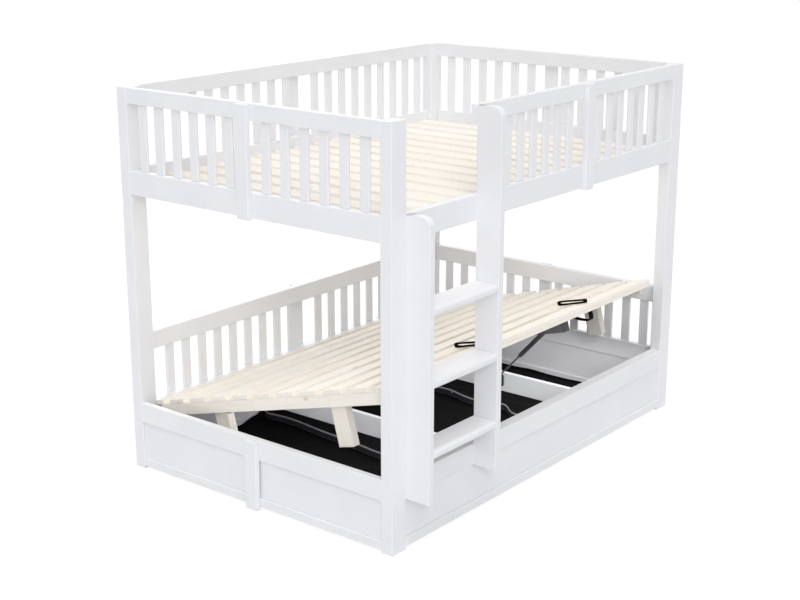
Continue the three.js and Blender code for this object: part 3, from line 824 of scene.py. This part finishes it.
def gas_strut(side):
    """A strut's cylinder with its upper socket, its rod, and the rod's socket."""
    axes = strut_frame(side)
    cylinder, rod = f"strut_cylinder_{side}", f"strut_rod_{side}"
    top_low, top_high = span(cylinder, axes)
    foot_low, foot_high = span(rod, axes)
    radius, joint_radius = (top_high.y - top_low.y) / 2, top_high.z
    neck, end = -SOCKET_REACH, top_low.z
    bm = bmesh.new()
    turned(bm, [
        (0, neck + SHOULDER), (SOCKET_NECK, neck + SHOULDER),
        (SOCKET_NECK * 1.3, neck + 0.4 * SHOULDER), (radius * 0.8, neck - 0.1 * SHOULDER),
        (radius * 0.95, neck - 0.5 * SHOULDER), (radius, neck - SHOULDER),
        (radius, end + 4 * CRIMP_WIDTH), (radius - CRIMP_DEPTH, end + 3.6 * CRIMP_WIDTH),
        (radius - CRIMP_DEPTH, end + 3.2 * CRIMP_WIDTH), (radius, end + 2.8 * CRIMP_WIDTH),
        (radius, end + SHOULDER + GLAND_LENGTH), (radius * 0.93, end + 0.4 * SHOULDER + GLAND_LENGTH),
        (GLAND_RADIUS * 1.1, end + GLAND_LENGTH), (GLAND_RADIUS, end + GLAND_LENGTH),
        (GLAND_RADIUS, end), (0, end),
    ])
    ball_socket(bm, 0, joint_radius, 2 * JOINT_HALF, -1)
    stud(bm, 0, top_low.x, top_high.x)
    sharpen(bm)
    # The dark_steel cylinder is drawn in the mid-grey coat of painted highlight.
    to_object(f"{cylinder}_body", bm, [STRUT_HIGHLIGHT_STEEL], "dark_steel", cylinder, (cylinder,), axes)
    foot = foot_low.z + joint_radius
    bm = bmesh.new()
    turned(bm, [
        (0, foot_high.z), (ROD_RADIUS, foot_high.z),
        (ROD_RADIUS, foot + SOCKET_REACH), (0, foot + SOCKET_REACH),
    ])
    sharpen(bm)
    to_object(f"{rod}_body", bm, [ROD_STEEL], "bright_steel", rod, (rod,), axes)
    bm = bmesh.new()
    ball_socket(bm, foot, joint_radius, 2 * JOINT_HALF, 1)
    stud(bm, foot, foot_low.x, foot_high.x)
    sharpen(bm)
    to_object(f"{rod}_end", bm, [STEEL], "dark_steel", rod, matrix=axes)


for side in ("near", "far"):
    gas_strut(side)


# Storage lining: three trays of bonded cloth, bound in pale tape where they are sewn together
FELT_THICKNESS = 1.6 * MM
TRAY_CORNER = 18 * MM
TRAY_CORNER_STEPS = 6
TRAY_STEP = 16 * MM
TRAY_FILLET = 9 * MM
FILLET_STEPS = 5
WALL_STEPS = 4
FLOOR_STEPS = 20
HEM_WAVE = 7 * MM
HEM_WAVES_PER_METRE = 5.5
FOLD_HEIGHT = 5 * MM
FOLDS_PER_METRE = 4.2
HEM_SAGS = ((-497, 707, 26), (-900, 707, 14), (250, 707, 12))  # millimetres: place on X and Y, depth
SAG_WIDTH = 80 * MM
END_WALL_DROP = 22 * MM  # the last wall has slipped down
EAR_RISE = 14 * MM  # how far a seam's back end is pulled up
EAR_SHARE = 0.03
SEAM_BENDS = {
    "near_seam": ((0, -10), (0.2, -48), (0.425, -52), (0.66, -21), (0.86, 8), (1, 0)),
    "far_seam": (
        (0, -20), (0.15, -58), (0.29, -72), (0.374, -4), (0.49, -30), (0.654, 6), (0.85, 12), (1, 0),
    ),
}  # (share of the way to the back, millimetres along the bed)
TRAYS = (
    ("storage_liner_near", None, "near_seam"),
    ("storage_liner_middle", "near_seam", "far_seam"),
    ("storage_liner_far", "far_seam", None),
)
BINDING_WIDTH = 3.6 * MM
BINDING_HEIGHT = 7 * MM
BAND_HEIGHT = 25 * MM
BAND_THICKNESS = 1.2 * MM
PIPING = 2.6 * MM
STITCH_LENGTH = 4.4 * MM
STITCH_PITCH = 7.5 * MM
STITCH_RADIUS = 0.4 * MM
SNAP_RADIUS = 4.2 * MM
SNAP_SHARES = (0.2, 0.6)
STITCH_SIDES = 6
FOLD_STRETCH = 0.5  # creases run further across the bed than along it
FOLD_SEED = 0.7
FOLD_SHARPNESS = 2.4
FOLD_NARROWING = 3  # a higher power makes creases narrower
RIPPLE_SHARE = 0.25
RIPPLE_SCALE = 5.3
FOLD_EASE = 3  # creases are full from a third of the way in
FACING = 0.9  # least share of a way out that counts as facing along the bed


def bend(seam, share):
    """How far along the bed a seam has wandered at a share of its length."""
    if seam is None:
        return 0.0
    for (start, low), (end, high) in zip(SEAM_BENDS[seam], SEAM_BENDS[seam][1:]):
        if share <= end:
            return (low + (high - low) * ease((share - start) / (end - start))) * MM
    return 0.0


def round_outline(low, high):
    """Points round a tray with round corners, anticlockwise, each with its way out."""
    middle = (low + high) / 2
    reach = (high - low) / 2 - Vector((TRAY_CORNER, TRAY_CORNER, 0))
    corners = []
    for turn, sx, sy in ((-90, 1, -1), (0, 1, 1), (90, -1, 1), (180, -1, -1)):
        centre = Vector((middle.x + sx * reach.x, middle.y + sy * reach.y, 0))
        for i in range(TRAY_CORNER_STEPS + 1):
            angle = math.radians(turn + 90 * i / TRAY_CORNER_STEPS)
            out = Vector((math.cos(angle), math.sin(angle), 0))
            corners.append((centre + TRAY_CORNER * out, out))
    points = []
    for (place, out), (after, _) in zip(corners, corners[1:] + corners[:1]):
        steps = max(1, round((after - place).length / TRAY_STEP))
        flat = Vector((round(out.x), round(out.y), 0)) if steps > 1 else out
        points.append((place, out))
        points.extend((place.lerp(after, i / steps), flat) for i in range(1, steps))
    return points


def tray_place(place, low, high, seams):
    """Moves a point of a tray along the bed with the seams on both sides of it."""
    along_bed = (place.x - low.x) / (high.x - low.x)
    share = (place.y - low.y) / (high.y - low.y)
    shift = bend(seams[0], share) * (1 - along_bed) + bend(seams[1], share) * along_bed
    return Vector((place.x + shift, place.y, place.z))


def hem_height(place, low, high, seams):
    """The uneven top edge of a tray's wall."""
    wave = noise.noise(place * HEM_WAVES_PER_METRE) * HEM_WAVE
    top = high.z - HEM_WAVE + wave
    for x, y, depth in HEM_SAGS:
        distance = math.hypot(place.x - x * MM, place.y - y * MM)
        top -= depth * MM * math.exp(-((distance / SAG_WIDTH) ** 2))
    if seams[1] is None:
        top -= END_WALL_DROP * ease((place.x - high.x + 2 * TRAY_CORNER) / TRAY_CORNER)
    share = (place.y - low.y) / (high.y - low.y)
    beside = (place.x > high.x - TRAY_CORNER and seams[1]) or (place.x < low.x + TRAY_CORNER and seams[0])
    if beside:
        top += EAR_RISE * ease((share - 1 + EAR_SHARE) / EAR_SHARE)
    return max(top, low.z + TRAY_FILLET + FELT_THICKNESS)


def fold_height(place):
    """Soft creases over the floor of a tray."""
    drawn = Vector((place.x * FOLDS_PER_METRE, place.y * FOLDS_PER_METRE * FOLD_STRETCH, FOLD_SEED))
    ridge = 1 - abs(noise.noise(drawn)) * FOLD_SHARPNESS
    ripple = noise.noise(drawn * RIPPLE_SCALE)
    return FOLD_HEIGHT * (max(ridge, 0.0) ** FOLD_NARROWING + RIPPLE_SHARE * ripple)


def wall_rings(outline, tops, low):
    """Rings of points from a tray's hem down its walls and round the fillet to its floor."""
    rings = []
    for i in range(WALL_STEPS):
        share = i / WALL_STEPS
        rings.append([
            Vector((place.x, place.y, top + (low.z + TRAY_FILLET - top) * share))
            for (place, _), top in zip(outline, tops)
        ])
    for i in range(FILLET_STEPS + 1):
        turn = math.pi / 2 * i / FILLET_STEPS
        inset, height = TRAY_FILLET * (1 - math.cos(turn)), TRAY_FILLET * (1 - math.sin(turn))
        rings.append([Vector((*(place - out * inset).xy, low.z + height)) for place, out in outline])
    return rings


def floor_rings(base, low, high):
    """Rings of points from the edge of a tray's floor in to its middle line, raised by creases."""
    half = (high - low) / 2
    middle = (low + high) / 2
    spine = Vector((max(half.x - half.y, 0), max(half.y - half.x, 0), 0))
    for i in range(1, FLOOR_STEPS + 1):
        share = i / FLOOR_STEPS
        ring = []
        for place in base:
            reach = place - middle
            centre = middle + Vector((
                min(max(reach.x, -spine.x), spine.x), min(max(reach.y, -spine.y), spine.y), 0,
            ))
            point = place.lerp(Vector((centre.x, centre.y, low.z)), share)
            point.z = low.z + fold_height(point) * ease(FOLD_EASE * share)
            ring.append(point)
        yield ring


def tray(name, seams, low, high, outline):
    """A tray's cloth, and the line of its top edge."""
    tops = [hem_height(place, low, high, seams) for place, _ in outline]
    rings = wall_rings(outline, tops, low)
    rings.extend(floor_rings(rings[-1], low, high))
    bm = bmesh.new()
    made = [[bm.verts.new(tray_place(point, low, high, seams)) for point in ring] for ring in rings]
    count = len(outline)
    for high_ring, low_ring in zip(made, made[1:]):
        for i in range(count):
            k = (i + 1) % count
            bm.faces.new((high_ring[i], low_ring[i], low_ring[k], high_ring[k]))
    bmesh.ops.remove_doubles(bm, verts=made[-1], dist=1 * MM)
    cloth = to_object(f"{name}_cloth", bm, [FELT], "black_fabric", "bed_frame", (name,))
    modifier = cloth.modifiers.new("thickness", "SOLIDIFY")
    modifier.thickness = FELT_THICKNESS
    modifier.offset = -1
    return cloth, [tray_place(point, low, high, seams) for point in rings[0]]


def unbroken_runs(numbers):
    """Rising numbers, split where some are left out."""
    runs = []
    for number in numbers:
        if runs and number == runs[-1][-1] + 1:
            runs[-1].append(number)
        else:
            runs.append([number])
    return runs


def trim(name, bm, material, slot="black_fabric"):
    """Turns a mesh under construction into a trimming."""
    return to_object(name, bm, [material], slot, "bed_frame")


def tape(name, paths, section, width, height, material, side=Vector((1, 0, 0))):
    """A trimming of one section along some paths."""
    bm = bmesh.new()
    for path in paths:
        sweep(bm, path, section, width, height, side)
    sharpen(bm)
    return trim(name, bm, material)


def piping_paths(edge, outline, sewn):
    """The sides of a tray that aren't sewn to another, as paths in the middle of its cloth."""
    for run in unbroken_runs(i for i in range(len(outline)) if i not in sewn):
        if len(run) > 2:
            yield [edge[i] - outline[i][1] * (FELT_THICKNESS / 2) for i in run]


def stitches(name, path, face):
    """A row of stitches on the face of a seam's band, the grey strip of painted highlight on the seam wall.
    """
    bm = bmesh.new()
    half = STITCH_LENGTH / 2
    thread = [(0, half), (STITCH_RADIUS, half / 2), (STITCH_RADIUS, -half / 2), (0, -half)]
    for place, ahead in along_path(path, STITCH_PITCH):
        foot = place - face - Vector((0, 0, BAND_HEIGHT))
        axes = Matrix.Translation(foot) @ ahead.to_track_quat("Z", "X").to_matrix().to_4x4()
        turned(bm, thread, axes, STITCH_SIDES)
    return trim(name, bm, BINDING)


def snaps(name, places):
    """Snaps that face the near end of the bed."""
    bm = bmesh.new()
    for place in places:
        head = Matrix.Translation(place) @ Matrix.Rotation(-math.pi / 2, 4, "Y")
        turned(bm, screw_profile(SNAP_RADIUS, SNAP_RADIUS / 2), head)
    sharpen(bm)
    return trim(name, bm, ROD_STEEL, "bright_steel")


def trimmings(name, edge, outline, seams, low, high):
    """Piping round a tray, and the binding, band, stitches and snaps of its far seam; the band's grey is a
    painted highlight for the lit near face of the seam wall.
    """
    seam = [i for i, (_, out) in enumerate(outline) if out.x > FACING] if seams[1] else []
    covered = [i for i, (_, out) in enumerate(outline) if out.x < -FACING] if seams[0] else []
    loose = piping_paths(edge, outline, {*seam, *covered})
    piping = tape(f"{name}_piping", loose, WEB_SECTION_SHARES, PIPING, PIPING, HEM_AND_PAINTED_LIGHT_BAND, Vector((0, 0, 1)))
    if not seam:
        return [piping]
    path = [edge[i] for i in seam]
    inset = Vector((FELT_THICKNESS + BAND_THICKNESS / 2, 0, 0))
    face = Vector((FELT_THICKNESS + BAND_THICKNESS, 0, 0))
    drop = Vector((0, 0, (BAND_HEIGHT + BINDING_HEIGHT) / 2))
    inner = [place - inset - drop for place in path]
    rows = [low.y + share * (high.y - low.y) for share in SNAP_SHARES]
    nearest = [min(path, key=lambda point: abs(point.y - y)) for y in rows]
    return [
        piping,
        tape(f"{name}_binding", [path], WEB_SECTION_SHARES, BINDING_WIDTH, BINDING_HEIGHT, BINDING),
        # The band is a thin grey strip on the seam wall's near face: a painted highlight standing in for the
        # light that face catches from the front.
        tape(f"{name}_band", [inner], SHEET_SECTION_SHARES, BAND_THICKNESS, BAND_HEIGHT, HEM_AND_PAINTED_LIGHT_BAND),
        stitches(f"{name}_stitches", path, face),
        snaps(f"{name}_snaps", [place - face - drop / 2 for place in nearest]),
    ]


def along_path(path, pitch):
    """Places at an even pitch along a path, with the way ahead at each."""
    left = pitch / 2
    for start, end in zip(path, path[1:]):
        length = (end - start).length
        ahead = (end - start).normalized()
        while left < length:
            yield start + ahead * left, ahead
            left += pitch
        left -= length


for name, *seams in TRAYS:
    low, high = (Vector(corner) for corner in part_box(name))
    outline = round_outline(low, high)
    cloth, edge = tray(name, seams, low, high, outline)
    trims = trimmings(name, edge, outline, seams, low, high)


# Fasteners
WOOD_SCREW = 2.8 * MM
WOOD_SCREW_HEIGHT = 0.5 * MM
SCREW_SPREAD_SHARE = 0.29  # of a plank's width, from its middle
PLATE_SCREW = 5.5 * MM
PLATE_SCREW_INSET = 15 * MM
LONG = 1.0  # planks and rails are longer than this, in metres
PLUG_THICKNESS = 2.5 * MM
BRACKET_PLATE = 4 * MM
WOOD_SCREW_SIDES = 20


def crossing_screws(name, planks, bearers, run, body, matrix=None):
    """Two screws where each plank, which runs along an axis, crosses a bearer under it."""
    bm = bmesh.new()
    head = screw_profile(WOOD_SCREW, WOOD_SCREW_HEIGHT)
    across = Y if run == X else X
    for start, end in planks:
        middle, spread = (start + end) / 2, (end - start)[across] * SCREW_SPREAD_SHARE
        for low, high in bearers:
            if low[across] > middle[across] or high[across] < middle[across]:
                continue
            for sign in (-1, 1):
                place = middle.copy()
                place[run] = (low[run] + high[run]) / 2
                place[across] += sign * spread
                place.z = end.z
                turned(bm, head, Matrix.Translation(place), WOOD_SCREW_SIDES)
    sharpen(bm)
    to_object(name, bm, [ROD_STEEL], "bright_steel", body, matrix=matrix)


def long_timbers(name, axis, matrix=None):
    """The timbers of a node that run along an axis for most of the bed."""
    found = timbers(name, matrix)
    return [(start, end) for start, end in found if (end - start)[axis] > LONG]


platform = long_timbers("platform_slats", X, RAISED)
platform_bearers = long_timbers("platform_slats", Y, RAISED) + [
    span(f"platform_rail_{side}", RAISED) for side in ("near", "far")
]
crossing_screws("platform_screws", platform, platform_bearers, X, "lift_platform", RAISED)
deck_bearers = long_timbers("upper_slat_deck", X) + [
    span(f"upper_ledger_{side}") for side in ("front", "back")
]
crossing_screws("deck_screws", long_timbers("upper_slat_deck", Y), deck_bearers, Y, "bed_frame")


def plate_screws(name):
    """A screw at each corner of a bracket's plate, on the face that looks to the bed's middle."""
    low, high = span(name)
    sign = 1 if low.x > 0 else -1
    face = high.x - BRACKET_PLATE if sign > 0 else low.x + BRACKET_PLATE
    bm = bmesh.new()
    for y in (low.y + PLATE_SCREW_INSET, high.y - PLATE_SCREW_INSET):
        for z in (low.z + PLATE_SCREW_INSET, high.z - PLATE_SCREW_INSET):
            head = Matrix.Translation((face, y, z)) @ Matrix.Rotation(-sign * math.pi / 2, 4, "Y")
            turned(bm, screw_profile(PLATE_SCREW, PLATE_SCREW / 2), head)
    sharpen(bm)
    to_object(f"{name}_screws", bm, [ROD_STEEL], "bright_steel", "bed_frame")


def arm_plugs(name):
    """Plugs that close the two ends of an arm's tube."""
    low, high = span(name, RAISED)
    bm = bmesh.new()
    bm.faces.layers.float_vector.new("timber")
    for y in (low.y - PLUG_THICKNESS, high.y):
        add_timber(bm, Vector((low.x, y, low.z)), Vector((high.x, y + PLUG_THICKNESS, high.z)), STEEL_EDGE)
    for face in bm.faces:
        face.material_index = 0
    plugs = to_object(f"{name}_plugs", bm, [PLUG], "dark_steel", "lift_platform", matrix=RAISED)
    weigh_normals(plugs)


for side in ("near", "far"):
    plate_screws(f"pivot_bracket_{side}")
    plate_screws(f"strut_bracket_{side}")
    arm_plugs(f"lift_arm_{side}")


# Studio
WHITE = (1.0, 1.0, 1.0, 1.0)
FLOOR_HALF = 60.0
FLOOR_COLOUR = (0.78, 0.78, 0.78, 1.0)
FLOOR_LIFT = 0.84  # how far the seen floor is turned to white light, which leaves a faint shadow
FLOOR_GLOW = 1.08
AMBIENT = 0.32
ZENITH = 0.8  # what the sky adds straight overhead


def camera():
    """Stands where the photograph was taken."""
    data = bpy.data.cameras.new("camera")
    data.sensor_width = SENSOR_WIDTH
    data.lens = FOCAL_PIXELS * SENSOR_WIDTH / PICTURE_WIDTH
    item = linked("camera", data)
    item.location = CAMERA_PLACE
    item.rotation_euler = (math.radians(CAMERA_TILT), 0, math.radians(CAMERA_TURN))
    bpy.context.scene.camera = item


def lamp(name, place, target, size, power):
    """A soft lamp that faces a point."""
    data = bpy.data.lights.new(name, "AREA")
    data.shape = "RECTANGLE"
    data.size, data.size_y = size
    data.energy = power
    item = linked(name, data)
    item.location = place
    item.rotation_euler = (Vector(target) - Vector(place)).to_track_quat("-Z", "Y").to_euler()
    item.visible_camera = False


def sun(name, strength, spread, tilt, turn):
    """Even light from one side, tilted from straight down by an angle in degrees."""
    data = bpy.data.lights.new(name, "SUN")
    data.energy = strength
    data.angle = math.radians(spread)
    linked(name, data).rotation_euler = (math.radians(tilt), 0, math.radians(turn))


def seen(s):
    """1 for what the camera, a reflection or a see-through surface looks at."""
    path = s.add("LightPath", {})
    rays = [path.outputs[f"Is {kind} Ray"] for kind in ("Camera", "Glossy", "Transmission")]
    return s.math("MINIMUM", s.plus(s.plus(rays[0], rays[1]), rays[2]), 1.0)


def floor():
    """A wide pale floor, which the camera sees as nearly plain white."""
    bm = bmesh.new()
    bmesh.ops.create_grid(bm, size=FLOOR_HALF)
    mesh = bpy.data.meshes.new("floor")
    bm.to_mesh(mesh)
    bm.free()
    s = Shader("floor")
    s.set(s.surface, {"Base Color": FLOOR_COLOUR, "Roughness": 0.9, "Specular IOR Level": 0.0})
    glow = s.add("Emission", {"Color": WHITE, "Strength": FLOOR_GLOW})
    share = s.times(seen(s), FLOOR_LIFT)
    mixed = s.add("MixShader", {0: share, 1: s.surface.outputs[0], 2: glow.outputs[0]})
    s.set(s.output, {"Surface": mixed.outputs[0]})
    mesh.materials.append(s.material)
    linked("floor", mesh)


def sky():
    """Light from all round that is stronger overhead, which the camera sees as plain white."""
    world = bpy.data.worlds.new("studio")
    bpy.context.scene.world = world
    world.use_nodes = True
    s = Wiring(world.node_tree)
    background = s.tree.nodes["Background"]
    towards = s.add("TexCoord", {}).outputs["Generated"]
    height = s.math("MAXIMUM", s.add("SeparateXYZ", {"Vector": towards}).outputs[Z], 0.0)
    light = s.plus(s.times(s.times(height, height), ZENITH), AMBIENT)
    strength = s.add("MapRange", {"Value": seen(s), "To Min": light, "To Max": 1.0}).outputs["Result"]
    s.set(background, {"Color": WHITE, "Strength": strength})


camera()
floor()
sky()
sun("key", strength=0.57, spread=12, tilt=59, turn=-44)
sun("high", strength=0.65, spread=40, tilt=25, turn=-50)
lamp("back_fill", (4.0, 4.6, 1.8), (0, 0, 0.8), size=(3.0, 2.0), power=100)
lamp("camera_fill", (-9.0, -7.2, 3.9), (0, 0, 0.6), size=(1.6, 1.6), power=138)
lamp("under_bunk", (0, 0, 1.17), (0, 0.01, 0), size=(1.9, 1.2), power=2.2)
lamp("storage_fill", (0, -0.08, 0.3), (0, -0.07, 0), size=(1.9, 1.0), power=5.0)
bpy.context.scene.view_settings.view_transform = "Standard"
